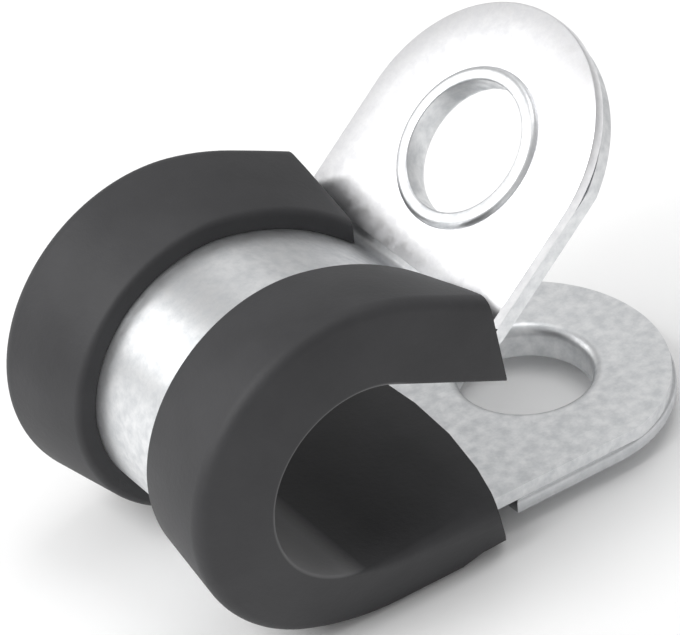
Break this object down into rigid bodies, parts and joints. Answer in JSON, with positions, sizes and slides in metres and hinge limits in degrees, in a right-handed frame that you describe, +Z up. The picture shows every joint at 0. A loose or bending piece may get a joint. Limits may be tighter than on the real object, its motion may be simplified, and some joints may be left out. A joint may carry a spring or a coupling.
{
  "type": "rubber-lined p clip",
  "caption": "P-shaped pipe and cable clip: bent zinc-plated steel band in a black rubber channel, with open flat ears, each backed by a plate round its screw hole.",
  "frame": {"origin": "centre of the pipe's seat, half way along it", "axes": "+Y along the pipe, +X from the loop towards the ears, +Z up; the lower ear lies flat"},
  "size_m": [0.0261, 0.0152, 0.0179],
  "materials": {
    "strap_zinc": "bright zinc plating, satin",
    "rubber": "matt black rubber",
    "upper_plate_zinc": "bright zinc plating, satin",
    "lower_plate_zinc": "bright zinc plating, satin"
  },
  "bodies": {
    "root": {"strap": "strap_zinc", "rubber_liner": "rubber", "upper_plate": "upper_plate_zinc", "lower_plate": "lower_plate_zinc"}
  },
  "joints": []
}
